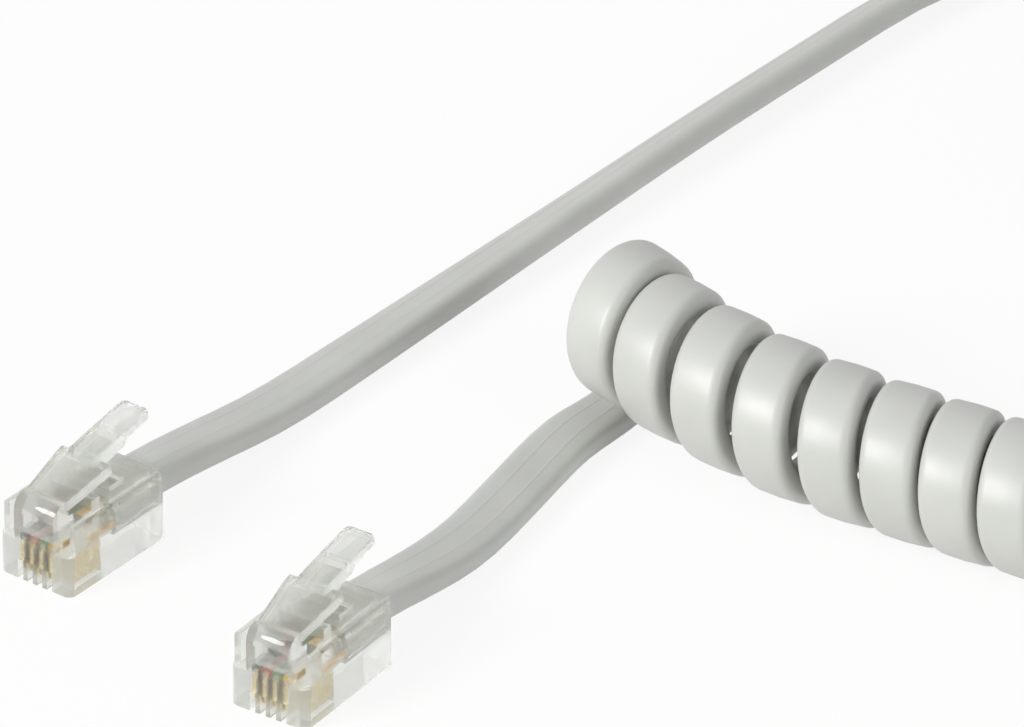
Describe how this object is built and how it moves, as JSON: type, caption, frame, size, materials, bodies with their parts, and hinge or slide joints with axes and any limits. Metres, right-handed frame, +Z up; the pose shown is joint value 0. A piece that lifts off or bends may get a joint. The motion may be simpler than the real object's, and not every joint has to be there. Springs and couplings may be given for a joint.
{
  "type": "coiled telephone handset cord",
  "caption": "Coiled telephone handset cord: a flat grey cord wound in close curls, with a short and a long straight lead, each crimped into a clear modular plug with a sprung latch.",
  "frame": {"origin": "middle of the handset plug's underside, on the table the cord lies on", "axes": "+Y from the handset plug's nose to its cord, +Z up from the contact side to the latch side, +X to the plug's right seen from its cord end with the latch up, along the coil"},
  "size_m": [0.1331, 0.148, 0.016],
  "materials": {
    "clear_plug": "clear moulded polycarbonate, glossy",
    "cord_jacket": "light warm grey extruded soft PVC, satin",
    "contact": "gold-plated, polished",
    "insulation_black": "smooth",
    "insulation_red": "smooth",
    "insulation_green": "smooth",
    "insulation_yellow": "smooth"
  },
  "bodies": {
    "cord": {"handset_plug_housing": "clear_plug", "handset_jacket_anchor": "clear_plug", "handset_conductor_clamp": "clear_plug", "handset_contact_1": "contact", "handset_contact_2": "contact", "handset_contact_3": "contact", "handset_contact_4": "contact", "handset_conductor_black": "insulation_black", "handset_conductor_red": "insulation_red", "handset_conductor_green": "insulation_green", "handset_conductor_yellow": "insulation_yellow", "base_plug_housing": "clear_plug", "base_jacket_anchor": "clear_plug", "base_conductor_clamp": "clear_plug", "base_contact_1": "contact", "base_contact_2": "contact", "base_contact_3": "contact", "base_contact_4": "contact", "base_conductor_black": "insulation_black", "base_conductor_red": "insulation_red", "base_conductor_green": "insulation_green", "base_conductor_yellow": "insulation_yellow", "short_lead": "cord_jacket", "curly_cord": "cord_jacket", "long_lead": "cord_jacket"},
    "handset_latch": {"handset_latch_lever": "clear_plug"},
    "base_latch": {"base_latch_lever": "clear_plug"}
  },
  "joints": [
    {"name": "handset_latch_press", "type": "hinge", "parent": "cord", "child": "handset_latch", "pos_m": [0, -0.00404, 0.0074], "axis": [-1, 0, 0], "range_deg": [0, 12], "stiffness_Nm_per_rad": 0.05},
    {"name": "base_latch_press", "type": "hinge", "parent": "cord", "child": "base_latch", "pos_m": [-0.02725, 0.00163, 0.0074], "axis": [-0.9978, 0.0663, 0], "range_deg": [0, 12], "stiffness_Nm_per_rad": 0.05}
  ]
}
